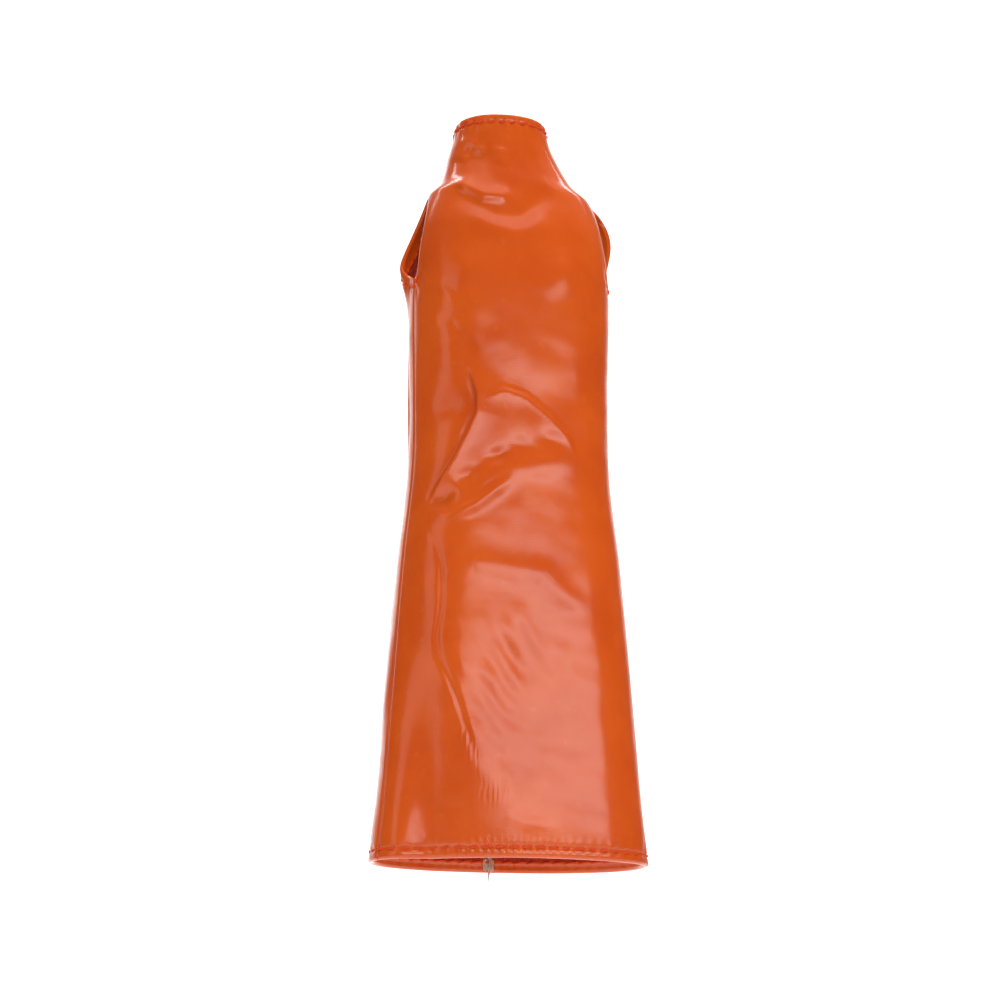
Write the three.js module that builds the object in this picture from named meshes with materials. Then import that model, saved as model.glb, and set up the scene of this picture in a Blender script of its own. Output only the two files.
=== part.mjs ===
// Sleeveless mock-neck A-line dress for a slim 1:6 fashion doll, opening down the back.
// Millimetres, +Z up, front towards -Y, wearer's left towards +X.
// The origin is the centre of the neck opening; heights below are counted up from the hem.
import * as THREE from "three";

// Driving sizes
const dressLength = 160;      // hem to top of collar
const sheetThickness = 0.6;   // coated sheet with its knitted backing
const hemHalfWidth = 28.7;
const hipHalfWidth = 21.3;
const chestHalfWidth = 21.4;
const shoulderHalfWidth = 17.6;
const collarHalfWidth = 9.8;
const hemFrontDepth = 13;
const chestFrontDepth = 14.2;
const collarDepth = 8.5;
const seatDepth = 15;         // back of the skirt, from the axis
const armholeDrop = 17.4;     // top of the armhole, below the top of the collar
const armholeHeight = 19.1;
const hipDrop = 78;           // hips, below the top of the collar
const slitLength = 98;        // back opening, down from the top of the collar
const underFoldLength = 60;   // how far down the under flap folds
const overlap = 2;            // each back edge passes the centre line by this
const foldAcross = 6;         // how far from the centre the folds reach at the collar
const tapeHalfWidth = 1.6;
const tapeThickness = 0.45;
const stitchRadius = 0.22;
const tailLength = 2.6;
const bodySway = 1.9;         // the body hangs this far to the wearer's left of the neck
const armholeFront = 76;      // turns of its two edges at mid-height
const armholeBack = 98;
const flareLeft = 4.1;        // the back edge of each armhole stands out by this
const flareLeftRise = 3.5;    // most of it this far above mid-armhole
const flareRight = 2.6;
const flareRightRise = -5;
const flareRun = 8.5;         // and fading over this height

// Sizes that follow from those
const armholeHigh = dressLength - armholeDrop;
const armholeLow = armholeHigh - armholeHeight;
const hipHigh = dressLength - hipDrop;
const slitLow = dressLength - slitLength;
const underFoldLow = dressLength - underFoldLength;
const clear = 0.3;                         // air left between neighbouring pieces
const tapeClear = 0.25;
const turned = 2 * sheetThickness;         // edge with its allowance turned in
const turnedWidth = 2.4;                   // width of that allowance
const lift = sheetThickness + 2 * tapeThickness + 2 * tapeClear + clear;
const tapeLow = slitLow + 3.5;
const tapeHigh = dressLength - 5;
const armholeMid = (armholeLow + armholeHigh) / 2;
const armholeHalf = (armholeHigh - armholeLow) / 2;
const squareness = 2.2;                    // exponent of the rounded cross-section
const seamTurn = 2.5;                      // the side seams sit turned towards the wearer's left
const sideSeam = 83.5;

const clamp = (v) => Math.min(1, Math.max(0, v));
const mix = (a, b, t) => a + (b - a) * t;
const ease = (a, b, v) => {
  const t = clamp((v - a) / (b - a));
  return t * t * (3 - 2 * t);
};

// Smooth curve through [height, value] stations.
function curve(stations) {
  const n = stations.length;
  const slope = stations.map((_, i) => {
    const [h0, v0] = stations[Math.max(0, i - 1)];
    const [h1, v1] = stations[Math.min(n - 1, i + 1)];
    return (v1 - v0) / (h1 - h0);
  });
  return (h) => {
    let i = 0;
    while (i < n - 2 && h > stations[i + 1][0]) i++;
    const [h0, v0] = stations[i];
    const [h1, v1] = stations[i + 1];
    const t = clamp((h - h0) / (h1 - h0));
    const d = h1 - h0;
    return (
      v0 * (1 + 2 * t) * (1 - t) ** 2 +
      v1 * t * t * (3 - 2 * t) +
      d * (slope[i] * t * (1 - t) ** 2 - slope[i + 1] * t * t * (1 - t))
    );
  };
}

// Heights as shares of the skirt, of the armhole, and of the shoulder and neck above it.
const skirtAt = (t) => hipHigh * t;
const armholeAt = (t) => mix(armholeLow, armholeHigh, t);
const neckAt = (t) => mix(armholeHigh, dressLength, t);
const chestHigh = armholeLow - 5.5;

const halfWidth = curve([
  [0, hemHalfWidth],
  [skirtAt(0.15), mix(hemHalfWidth, hipHalfWidth, 0.18)],
  [skirtAt(0.41), mix(hemHalfWidth, hipHalfWidth, 0.4)],
  [skirtAt(0.76), mix(hemHalfWidth, hipHalfWidth, 0.72)],
  [hipHigh, hipHalfWidth],
  [mix(hipHigh, chestHigh, 0.47), chestHalfWidth - 0.2],
  [chestHigh, chestHalfWidth],
  [armholeAt(0.45), mix(chestHalfWidth, shoulderHalfWidth, 0.15)],
  [armholeHigh, shoulderHalfWidth],
  [neckAt(0.17), mix(shoulderHalfWidth, collarHalfWidth, 0.38)],
  [neckAt(0.36), mix(shoulderHalfWidth, collarHalfWidth, 0.59)],
  [neckAt(0.54), mix(shoulderHalfWidth, collarHalfWidth, 0.74)],
  [neckAt(0.75), mix(shoulderHalfWidth, collarHalfWidth, 0.9)],
  [dressLength, collarHalfWidth],
]);

// Sideways offset of the whole cross-section.
const sway = (h) => bodySway * (1 - ease(neckAt(-0.15), neckAt(0.77), h));

const frontDepth = curve([
  [0, hemFrontDepth],
  [skirtAt(0.73), hemFrontDepth + 0.5],
  [mix(hipHigh, chestHigh, 0.22), hemFrontDepth],
  [chestHigh, chestFrontDepth],
  [armholeAt(0.45), chestFrontDepth - 1.4],
  [neckAt(0.08), mix(chestFrontDepth, collarDepth, 0.7)],
  [neckAt(0.48), collarDepth + 0.4],
  [dressLength, collarDepth],
]);

// The over flap folds on a straight line; the back depth is set so that the line lies in the sheet.
const overFoldX = (h) => mix(-overlap, foldAcross, (h - slitLow) / (dressLength - slitLow));
const underFoldX = (h) =>
  mix(overlap, -foldAcross, (h - underFoldLow) / (dressLength - underFoldLow));
const spread = (x) => 1 - ease(overlap + 0.8, foldAcross + 0.5, x);
const round = (x, h) => (1 - Math.abs(x / halfWidth(h)) ** squareness) ** (1 / squareness);
function backDepth(h) {
  if (h <= slitLow) return seatDepth;
  const t = (h - slitLow) / (dressLength - slitLow);
  const top = collarDepth * round(foldAcross, dressLength) + lift * spread(foldAcross);
  const line = mix(seatDepth + lift, top, t);
  return (line - lift * spread(overFoldX(h))) / round(overFoldX(h) - sway(h), h);
}

// How far the back stands out beside an armhole.
function flare(deg, h) {
  const side = deg > 180 ? deg - 360 : deg;
  const [most, rise] = side > 0 ? [flareLeft, flareLeftRise] : [flareRight, flareRightRise];
  const round = ((Math.abs(side) - armholeBack) / 14) ** 2;
  return most * ease(84, 96, Math.abs(side)) * Math.exp(-round - ((h - armholeMid - rise) / flareRun) ** 2);
}

// Point of the outer face: turn in degrees from the front centre towards the wearer's left.
function surface(turn, h, out = 0) {
  const a = halfWidth(h);
  const at = (deg) => {
    const s = Math.sin((deg * Math.PI) / 180);
    const c = Math.cos((deg * Math.PI) / 180);
    const d = c > 0 ? frontDepth(h) : backDepth(h);
    const r = ((Math.abs(s) / a) ** squareness + (Math.abs(c) / d) ** squareness) ** (-1 / squareness);
    return [(r + flare(deg, h)) * s + sway(h), -r * c];
  };
  const [x, y] = at(turn);
  const p = new THREE.Vector3(x, y, h - dressLength);
  if (out === 0) return p;
  const [x1, y1] = at(turn + 0.5);
  const [x0, y0] = at(turn - 0.5);
  const n = new THREE.Vector3(y1 - y0, -(x1 - x0), 0).normalize();
  return p.addScaledVector(n, out);
}

// Turn at which the back crosses a given x.
function backTurn(x, h) {
  const own = x - sway(h);
  const y = backDepth(h) * round(own, h);
  return 180 - (Math.atan2(own, y) * 180) / Math.PI;
}

const seamAt = (side, h) =>
  mix(sideSeam + side * seamTurn, 90, ease(armholeLow, armholeHigh, h));
const armhole = (h) => Math.sqrt(Math.max(0, 1 - ((h - armholeMid) / armholeHalf) ** 2));
const gapTurn = (h) => ((clear / 2 / halfWidth(h)) * 180) / Math.PI;
const frontLimit = (side, h) =>
  seamAt(side, h) - gapTurn(h) - (seamAt(side, h) - armholeFront) * armhole(h);
const backLimit = (side, h) =>
  seamAt(side, h) + gapTurn(h) + (armholeBack - seamAt(side, h)) * armhole(h);

// Closed body from a grid of point pairs [outer, inner], rows going up.
function shell(grid) {
  const rows = grid.length;
  const cols = grid[0].length;
  const positions = [];
  for (const layer of [0, 1])
    for (const row of grid) for (const pair of row) positions.push(...pair[layer].toArray());
  const index = [];
  const id = (layer, r, c) => layer * rows * cols + r * cols + c;
  const quad = (a, b, c, d) => index.push(a, b, c, a, c, d);
  for (let r = 0; r < rows - 1; r++)
    for (let c = 0; c < cols - 1; c++) {
      quad(id(0, r, c), id(0, r, c + 1), id(0, r + 1, c + 1), id(0, r + 1, c));
      quad(id(1, r, c), id(1, r + 1, c), id(1, r + 1, c + 1), id(1, r, c + 1));
    }
  for (let c = 0; c < cols - 1; c++) {
    quad(id(1, 0, c), id(1, 0, c + 1), id(0, 0, c + 1), id(0, 0, c));
    quad(id(0, rows - 1, c), id(0, rows - 1, c + 1), id(1, rows - 1, c + 1), id(1, rows - 1, c));
  }
  for (let r = 0; r < rows - 1; r++) {
    quad(id(1, r, 0), id(0, r, 0), id(0, r + 1, 0), id(1, r + 1, 0));
    quad(id(0, r, cols - 1), id(1, r, cols - 1), id(1, r + 1, cols - 1), id(0, r + 1, cols - 1));
  }
  const geometry = new THREE.BufferGeometry();
  geometry.setAttribute("position", new THREE.Float32BufferAttribute(positions, 3));
  geometry.setIndex(index);
  return geometry;
}

// Square-section tube along points [turn, height, out]; `loop` joins its ends.
function thread(path, loop, radius = stitchRadius) {
  const points = path.map(([turn, h, out]) => surface(turn, h, out));
  const n = points.length;
  const positions = [];
  for (let i = 0; i < n; i++) {
    const before = points[loop ? (i + n - 1) % n : Math.max(0, i - 1)];
    const after = points[loop ? (i + 1) % n : Math.min(n - 1, i + 1)];
    const along = after.clone().sub(before).normalize();
    const outward = surface(path[i][0], path[i][1], 1).sub(surface(path[i][0], path[i][1]));
    const across = along.clone().cross(outward).normalize();
    const up = across.clone().cross(along).normalize();
    for (const [u, v] of [[1, 1], [-1, 1], [-1, -1], [1, -1]]) {
      const p = points[i].clone().addScaledVector(across, u * radius).addScaledVector(up, v * radius);
      positions.push(...p.toArray());
    }
  }
  const index = [];
  for (let i = 0; i < (loop ? n : n - 1); i++)
    for (let k = 0; k < 4; k++) {
      const a = i * 4 + k;
      const b = i * 4 + ((k + 1) % 4);
      const c = ((i + 1) % n) * 4 + ((k + 1) % 4);
      const d = ((i + 1) % n) * 4 + k;
      index.push(a, c, b, a, d, c);
    }
  if (!loop) {
    index.push(0, 1, 2, 0, 2, 3);
    const e = (n - 1) * 4;
    index.push(e, e + 2, e + 1, e, e + 3, e + 2);
  }
  const geometry = new THREE.BufferGeometry();
  geometry.setAttribute("position", new THREE.Float32BufferAttribute(positions, 3));
  geometry.setIndex(index);
  return geometry;
}

const group = new THREE.Group();
group.name = "doll_dress";
function add(name, geometry, color, roughness) {
  const material = new THREE.MeshStandardMaterial({ color, roughness, metalness: 0 });
  const mesh = new THREE.Mesh(geometry, material);
  mesh.name = name;
  group.add(mesh);
}
const orange = 0xd35b21;
const threadColor = 0xb83a1a;

// Rows are closer where an edge curves or a fold starts.
const between = (a, b, n) => Array.from({ length: n }, (_, i) => mix(a, b, (i + 1) / (n + 1)));
const skirtRows = [
  0, 2.2, 5, ...between(5, slitLow - 12, 3), slitLow - 12, slitLow - 8, slitLow - 4, slitLow,
];
const bodyRows = [
  slitLow + 4, ...between(slitLow + 4, underFoldLow, 3),
  underFoldLow, ...between(underFoldLow, armholeLow, 2),
];
const armholeRows = [-1, -0.94, -0.8, -0.55, -0.2, 0.2, 0.55, 0.8, 0.94, 1].map(
  (k) => armholeMid + k * armholeHalf,
);
const collarRows = [0.11, 0.25, 0.48, 0.71, 0.885, 1].map(neckAt);
const allRows = [...skirtRows, ...bodyRows, ...armholeRows, ...collarRows];

// Depth of the inner face below the outer one: double along a turned edge.
function depthAt(h, fromSide, fromCentre) {
  const edges = [
    1 - ease(turnedWidth, turnedWidth + 1.2, h),
    1 - ease(turnedWidth, turnedWidth + 1.2, dressLength - h),
    1 - ease(turnedWidth, turnedWidth + 1.2, fromSide),
    1 - ease(turnedWidth, turnedWidth + 1.2, fromCentre),
  ];
  return mix(sheetThickness, turned, Math.max(...edges));
}
const arc = (turnA, turnB, h) => (Math.abs(turnA - turnB) * Math.PI * halfWidth(h)) / 180;

// Panel between two turns per row. `liftAt` raises the outer face.
function panel(rows, cols, from, to, liftAt, sideTurn, centreEdge) {
  return shell(
    rows.map((h) => {
      const row = [];
      for (let c = 0; c <= cols; c++) {
        const turn = mix(from(h), to(h), c / cols);
        const up = liftAt(turn, h);
        const side = sideTurn ? Math.min(...sideTurn(h).map((s) => arc(s, turn, h))) : 99;
        const centre = centreEdge ? centreEdge(turn, h) : 99;
        row.push([surface(turn, h, up), surface(turn, h, up - depthAt(h, side, centre))]);
      }
      return row;
    }),
  );
}

// Front, with the neck cut in one
add(
  "front_panel",
  panel(
    allRows,
    18,
    (h) => -frontLimit(-1, h),
    (h) => frontLimit(1, h),
    () => 0,
    (h) => [-frontLimit(-1, h), frontLimit(1, h)],
  ),
  orange,
  0.18,
);

// Back: the wearer's left side lies over the right one from the slit up
const overEdgeX = (h) => mix(clear / 2, -overlap, ease(slitLow - 4, slitLow, h));
const underEdgeX = (h) => mix(-clear / 2, overlap, ease(slitLow, slitLow + 4, h));
const overLift = (turn, h) => {
  const x = surface(turn, h).x;
  return lift * spread(x) * ease(slitLow - 10, slitLow - 3.5, h);
};
const foldGap = clear / 2;
const overInner = (h) => (h > slitLow ? overFoldX(h) + foldGap : overEdgeX(h));
const underInner = (h) => (h > underFoldLow ? underFoldX(h) - foldGap : underEdgeX(h));
const noEdge = () => 99;
const fromX = (edge) => (turn, h) => Math.abs(surface(turn, h).x - edge(h));

add(
  "back_left_panel",
  panel(
    allRows,
    10,
    (h) => backLimit(1, h),
    (h) => backTurn(overInner(h), h),
    overLift,
    (h) => [backLimit(1, h)],
    noEdge,
  ),
  orange,
  0.18,
);
add(
  "back_right_panel",
  panel(
    allRows,
    10,
    (h) => backTurn(underInner(h), h),
    (h) => 360 - backLimit(-1, h),
    () => 0,
    (h) => [360 - backLimit(-1, h)],
    noEdge,
  ),
  orange,
  0.18,
);

// The two flaps that fold back beside the opening
const overFlapRows = [slitLow + 7, ...allRows.filter((h) => h > slitLow + 9)];
const underFlapRows = [underFoldLow + 5, ...allRows.filter((h) => h > underFoldLow + 7)];
add(
  "back_left_flap",
  panel(
    overFlapRows,
    6,
    (h) => backTurn(overFoldX(h) - foldGap, h),
    (h) => backTurn(-overlap, h),
    overLift,
    null,
    noEdge,
  ),
  orange,
  0.18,
);
add(
  "back_right_flap",
  panel(
    underFlapRows,
    4,
    (h) => backTurn(overlap, h),
    (h) => backTurn(underFoldX(h) + foldGap, h),
    () => 0,
    null,
    noEdge,
  ),
  orange,
  0.18,
);

// Hook-and-loop tape: hooks face out from the under side, loops face in from the over side
const tapeX = tapeHalfWidth;
const tape = 0x2a2422;
const hookOut = tapeClear + tapeThickness;
const loopOut = hookOut + tapeClear + tapeThickness;
const strip = (rows, fromEdge, toEdge, out) =>
  shell(
    rows.map((h) =>
      [0, 0.5, 1].map((c) => {
        const turn = backTurn(mix(fromEdge(h), toEdge(h), c), h);
        return [surface(turn, h, out), surface(turn, h, out - tapeThickness)];
      }),
    ),
  );
const overFoldAt = (x) => slitLow + ((x + overlap) / (foldAcross + overlap)) * (dressLength - slitLow);
const underFoldAt = (x) =>
  underFoldLow + ((overlap - x) / (foldAcross + overlap)) * (dressLength - underFoldLow);
const rowsBetween = (a, b, kinks) => {
  const rows = new Set([a, b, ...kinks]);
  for (let h = Math.ceil(a / 8) * 8; h < b; h += 8) rows.add(h);
  return [...rows].filter((h) => h >= a && h <= b).sort((u, v) => u - v)
    .filter((h, i, all) => i === 0 || h === b || (h - all[i - 1] > 1.5 && b - h > 1.5));
};
const tip = tapeX - foldGap - 0.4; // the pointed ends stop where they are this narrow
add(
  "loop_tape",
  strip(
    rowsBetween(tapeLow, overFoldAt(tip), [overFoldAt(-tapeX - foldGap)]),
    () => tapeX,
    (h) => Math.max(-tapeX, overFoldX(h) + foldGap),
    loopOut,
  ),
  tape,
  0.9,
);
add(
  "loop_tape_flap",
  strip(
    rowsBetween(overFoldAt(-tip), tapeHigh, [overFoldAt(tapeX + foldGap)]),
    (h) => Math.min(tapeX, overFoldX(h) - foldGap),
    () => -tapeX,
    loopOut,
  ),
  tape,
  0.9,
);
add(
  "hook_tape",
  strip(
    rowsBetween(tapeLow, underFoldAt(-tip), [underFoldAt(tapeX + foldGap)]),
    (h) => Math.min(tapeX, h > underFoldLow ? underFoldX(h) - foldGap : tapeX),
    () => -tapeX,
    hookOut,
  ),
  tape,
  0.9,
);
add(
  "hook_tape_flap",
  strip(
    rowsBetween(underFoldAt(tip), tapeHigh, [underFoldAt(-tapeX - foldGap)]),
    () => tapeX,
    (h) => Math.max(-tapeX, underFoldX(h) + foldGap),
    hookOut,
  ),
  tape,
  0.9,
);

// Rows of stitching, each as one thread just clear of the face it is sewn to
const onFace = clear + stitchRadius;
const sewn = (name, path, loop = false) => add(name, thread(path, loop), threadColor, 0.6);
const steps = (n, f) => Array.from({ length: n }, (_, i) => f(i / (n - 1)));
const turnsOf = (n, f) => Array.from({ length: n }, (_, i) => f((i / n) * 2 * Math.PI));
// Points of the back given as [x, height], with extra points along the long runs.
function backPath(corners, out) {
  const path = [];
  corners.forEach(([x, h], i) => {
    const [x0, h0] = corners[Math.max(0, i - 1)];
    const n = Math.max(1, Math.round(Math.abs(h - h0) / 9));
    for (let k = 1; k <= (i ? n : 1); k++) {
      const at = [mix(x0, x, k / n), mix(h0, h, k / n)];
      path.push([backTurn(...at), at[1], out]);
    }
  });
  return path;
}
const inset = tapeX - 0.4;
const endIn = 1;
const offFold = 1.6;
const outerFace = lift + onFace;
const innerFace = -sheetThickness - onFace;
sewn("loop_tape_stitch", backPath([
  [-inset, overFoldAt(-inset) - offFold],
  [-inset, tapeLow + endIn],
  [inset, tapeLow + endIn],
  [inset, overFoldAt(inset) - offFold],
], outerFace));
sewn("loop_tape_stitch_flap", backPath([
  [-inset, overFoldAt(-inset) + offFold],
  [-inset, tapeHigh - endIn],
  [inset, tapeHigh - endIn],
  [inset, overFoldAt(inset) + offFold],
], outerFace));
sewn("hook_tape_stitch", backPath([
  [inset, underFoldAt(inset) - offFold],
  [inset, tapeLow + endIn],
  [-inset, tapeLow + endIn],
  [-inset, underFoldAt(-inset) - offFold],
], innerFace));
sewn("hook_tape_stitch_flap", backPath([
  [inset, underFoldAt(inset) + offFold],
  [inset, tapeHigh - endIn],
  [-inset, tapeHigh - endIn],
  [-inset, underFoldAt(-inset) + offFold],
], innerFace));

const stitchIn = 2.1; // topstitching runs this far in from the finished edge
const collarStitch = dressLength - 1.9;
const along = (x0, x1, liftOf) => steps(7, (t) => {
  const turn = backTurn(mix(x0, x1, t), collarStitch);
  return [turn, collarStitch, liftOf(turn) + onFace];
});
const overCollarLift = (turn) => overLift(turn, collarStitch);
const overFoldTop = overFoldX(collarStitch);
const underFoldTop = underFoldX(collarStitch);
sewn("collar_stitch", steps(33, (t) => {
  const first = backTurn(overFoldTop + 0.9, collarStitch);
  const last = backTurn(underFoldTop - 0.9, collarStitch) - 360;
  const turn = mix(first, last, t);
  return [turn, collarStitch, (turn > 90 ? overCollarLift(turn) : 0) + onFace];
}));
sewn("collar_stitch_left_flap", along(overFoldTop - 0.9, -overlap + 0.5, overCollarLift));
sewn("collar_stitch_right_flap", along(overlap - 0.5, underFoldTop + 0.9, () => 0));

const turnedBy = (stitchIn / chestHalfWidth) * (180 / Math.PI);
for (const [name, side] of [["armhole_left_stitch", 1], ["armhole_right_stitch", -1]])
  sewn(name, turnsOf(36, (a) => {
    const h = armholeMid + (armholeHalf + stitchIn) * Math.sin(a);
    const seam = seamAt(side, h);
    const c = Math.cos(a);
    const turn = seam + c * (c > 0 ? armholeBack - seam + turnedBy : seam - armholeFront + turnedBy);
    return [side * turn, h, onFace + clear];
  }), true);
sewn("hem_stitch", turnsOf(64, (a) => [(a * 180) / Math.PI, stitchIn, onFace]), true);

const inside = -turned - onFace;
for (const [word, side] of [["left", 1], ["right", -1]]) {
  sewn("side_seam_" + word + "_thread", steps(11, (t) => {
    const h = mix(4, armholeLow - 4, t);
    return [side * seamAt(side, h), h, inside];
  }));
  sewn("shoulder_seam_" + word + "_thread", steps(6, (t) => [
    side * 90, mix(armholeHigh + 3.5, dressLength - 2, t), inside,
  ]));
}
sewn("centre_back_seam_thread", steps(9, (t) => {
  const h = mix(5, slitLow - 5, t);
  return [backTurn(0, h), h, innerFace];
}));
const bartack = slitLow - 1;
sewn("slit_bartack", backPath([[-0.7, bartack], [2.3, bartack]], outerFace));
add(
  "thread_tail",
  thread(steps(4, (t) => [backTurn(0, 0), mix(4.4, -tailLength, t), inside]), false, 0.3),
  0xd8b8a0,
  0.8,
);

export default group;
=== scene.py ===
import math

import bmesh
import bpy
import numpy as np
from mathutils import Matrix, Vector


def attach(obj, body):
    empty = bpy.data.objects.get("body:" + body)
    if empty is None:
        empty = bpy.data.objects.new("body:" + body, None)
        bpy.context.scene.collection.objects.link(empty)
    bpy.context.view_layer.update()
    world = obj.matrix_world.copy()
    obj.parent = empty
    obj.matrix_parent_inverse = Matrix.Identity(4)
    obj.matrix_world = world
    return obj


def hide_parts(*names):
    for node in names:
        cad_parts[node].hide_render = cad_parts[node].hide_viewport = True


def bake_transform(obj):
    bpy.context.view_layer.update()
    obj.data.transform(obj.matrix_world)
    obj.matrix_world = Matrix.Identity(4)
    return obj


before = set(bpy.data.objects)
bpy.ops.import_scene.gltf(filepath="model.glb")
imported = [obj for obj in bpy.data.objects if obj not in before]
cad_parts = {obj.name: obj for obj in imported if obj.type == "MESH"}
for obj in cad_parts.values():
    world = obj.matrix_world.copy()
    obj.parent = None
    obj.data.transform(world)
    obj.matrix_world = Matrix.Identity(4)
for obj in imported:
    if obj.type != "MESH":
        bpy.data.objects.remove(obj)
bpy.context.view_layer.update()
mm = 0.001

cameraSet = {"turn": -10.0, "rise": -15.0, "distance": 0.524, "lens": 90.0, "aim": (0.0, 0.0, -0.0838)}


def makeCamera(s):
    a, e = math.radians(s["turn"]), math.radians(s["rise"])
    aim = Vector(s["aim"])
    away = Vector((math.sin(a) * math.cos(e), -math.cos(a) * math.cos(e), math.sin(e)))
    data = bpy.data.cameras.new("camera")
    data.lens = s["lens"]
    data.clip_start = 0.01
    camera = bpy.data.objects.new("camera", data)
    camera.location = aim + away * s["distance"]
    camera.rotation_euler = (-away).to_track_quat("-Z", "Y").to_euler()
    bpy.context.scene.collection.objects.link(camera)
    bpy.context.scene.camera = camera


makeCamera(cameraSet)
bpy.context.scene.view_settings.view_transform = "Standard"
print("camera set")

# The dress's sizes in mm. Heights count up from the hem, drops down from the top of the collar,
# and turns go in degrees from the front centre to the wearer's left.
cut = {
    "length": 160.0, "sheet": 0.6, "turned": 1.2, "allowance": 2.6,
    "hemHalf": 28.7, "hipHalf": 21.3, "chestHalf": 21.4, "shoulderHalf": 17.6, "collarHalf": 9.8,
    "hemFront": 13.0, "chestFront": 14.2, "collarDepth": 8.5, "seatDepth": 15.0,
    "armholeDrop": 17.4, "armholeHeight": 19.1, "armFront": 76.0, "armBack": 98.0,
    "hipDrop": 78.0, "slitLength": 98.0, "overlap": 2.0, "foldAcross": 6.0,
    "lift": 2.3, "square": 2.2, "sideSeam": 83.5, "seamTurn": 2.5,
    # the back edges of the armholes stand out, and the body hangs a little to the wearer's left of the neck
    "flareLeft": (4.1, 3.5), "flareRight": (2.6, -5.0), "flareRun": 8.5, "sway": 1.9,
}
armHigh = cut["length"] - cut["armholeDrop"]
armLow = armHigh - cut["armholeHeight"]
armMid, armHalf = (armLow + armHigh) / 2, (armHigh - armLow) / 2
hipHigh = cut["length"] - cut["hipDrop"]
chestHigh = armLow - 5.5
slitLow = cut["length"] - cut["slitLength"]


def clamp(v):
    return np.clip(v, 0.0, 1.0)


def mix(a, b, t):
    return a + (b - a) * t


def ease(a, b, v):
    t = clamp((np.asarray(v, float) - a) / (b - a))
    return t * t * (3 - 2 * t)


def curve(stations):
    h = np.array([s[0] for s in stations], float)
    v = np.array([s[1] for s in stations], float)
    lo, hi = np.maximum(np.arange(len(h)) - 1, 0), np.minimum(np.arange(len(h)) + 1, len(h) - 1)
    slope = (v[hi] - v[lo]) / (h[hi] - h[lo])

    def at(x):
        x = np.asarray(x, float)
        i = np.clip(np.searchsorted(h, x, side="right") - 1, 0, len(h) - 2)
        d = h[i + 1] - h[i]
        t = clamp((x - h[i]) / d)
        return (v[i] * (1 + 2 * t) * (1 - t) ** 2 + v[i + 1] * t * t * (3 - 2 * t)
                + d * (slope[i] * t * (1 - t) ** 2 - slope[i + 1] * t * t * (1 - t)))

    return at


def armholeAt(t):
    return mix(armLow, armHigh, t)


def neckAt(t):
    return mix(armHigh, cut["length"], t)


def shoulderToCollar(t):
    return mix(cut["shoulderHalf"], cut["collarHalf"], t)


halfWidth = curve([
    (0, cut["hemHalf"]), (hipHigh * 0.15, mix(cut["hemHalf"], cut["hipHalf"], 0.18)),
    (hipHigh * 0.41, mix(cut["hemHalf"], cut["hipHalf"], 0.4)),
    (hipHigh * 0.76, mix(cut["hemHalf"], cut["hipHalf"], 0.72)), (hipHigh, cut["hipHalf"]),
    (mix(hipHigh, chestHigh, 0.47), cut["chestHalf"] - 0.2), (chestHigh, cut["chestHalf"]),
    (armholeAt(0.45), mix(cut["chestHalf"], cut["shoulderHalf"], 0.15)), (armHigh, cut["shoulderHalf"]),
    (neckAt(0.17), shoulderToCollar(0.38)), (neckAt(0.36), shoulderToCollar(0.59)),
    (neckAt(0.54), shoulderToCollar(0.74)), (neckAt(0.75), shoulderToCollar(0.9)),
    (cut["length"], cut["collarHalf"])])
frontDepth = curve([
    (0, cut["hemFront"]), (hipHigh * 0.73, cut["hemFront"] + 0.5),
    (mix(hipHigh, chestHigh, 0.22), cut["hemFront"]),
    (chestHigh, cut["chestFront"]), (armholeAt(0.45), cut["chestFront"] - 1.4),
    (neckAt(0.08), mix(cut["chestFront"], cut["collarDepth"], 0.7)), (neckAt(0.48), cut["collarDepth"] + 0.4),
    (cut["length"], cut["collarDepth"])])


def sway(h):
    return cut["sway"] * (1 - ease(neckAt(-0.15), neckAt(0.77), h))


def overFoldX(h):
    return mix(-cut["overlap"], cut["foldAcross"], (h - slitLow) / cut["slitLength"])


def spread(x):
    return 1 - ease(cut["overlap"] + 0.8, cut["foldAcross"] + 0.5, x)


def roundOff(x, h):
    return (1 - np.minimum(np.abs(x / halfWidth(h)), 0.999) ** cut["square"]) ** (1 / cut["square"])


# set so that the over flap's fold is a straight line
def backDepth(h):
    h = np.asarray(h, float)
    t = (h - slitLow) / cut["slitLength"]
    topRound = roundOff(cut["foldAcross"], cut["length"])
    top = cut["collarDepth"] * topRound + cut["lift"] * spread(cut["foldAcross"])
    line = mix(cut["seatDepth"] + cut["lift"], top, t)
    x = overFoldX(h)
    deep = (line - cut["lift"] * spread(x)) / roundOff(x - sway(h), h)
    return np.where(h <= slitLow, cut["seatDepth"], deep)


def signedTurn(turn):
    return np.where(turn > 180, turn - 360, turn)


def flare(turn, h):
    side = signedTurn(turn)
    most = np.where(side > 0, cut["flareLeft"][0], cut["flareRight"][0])
    rise = np.where(side > 0, cut["flareLeft"][1], cut["flareRight"][1])
    away = ((np.abs(side) - cut["armBack"]) / 10) ** 2 + ((h - armMid - rise) / cut["flareRun"]) ** 2
    return most * ease(84, 96, np.abs(side)) * np.exp(-away)


# x and y of the outer face before any fold
def ring(turn, h):
    s, c = np.sin(np.radians(turn)), np.cos(np.radians(turn))
    d = np.where(c > 0, frontDepth(h), backDepth(h))
    power = cut["square"]
    r = ((np.abs(s) / halfWidth(h)) ** power + (np.abs(c) / d) ** power) ** (-1 / power)
    return (r + flare(turn, h)) * s + sway(h), -r * c


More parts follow.
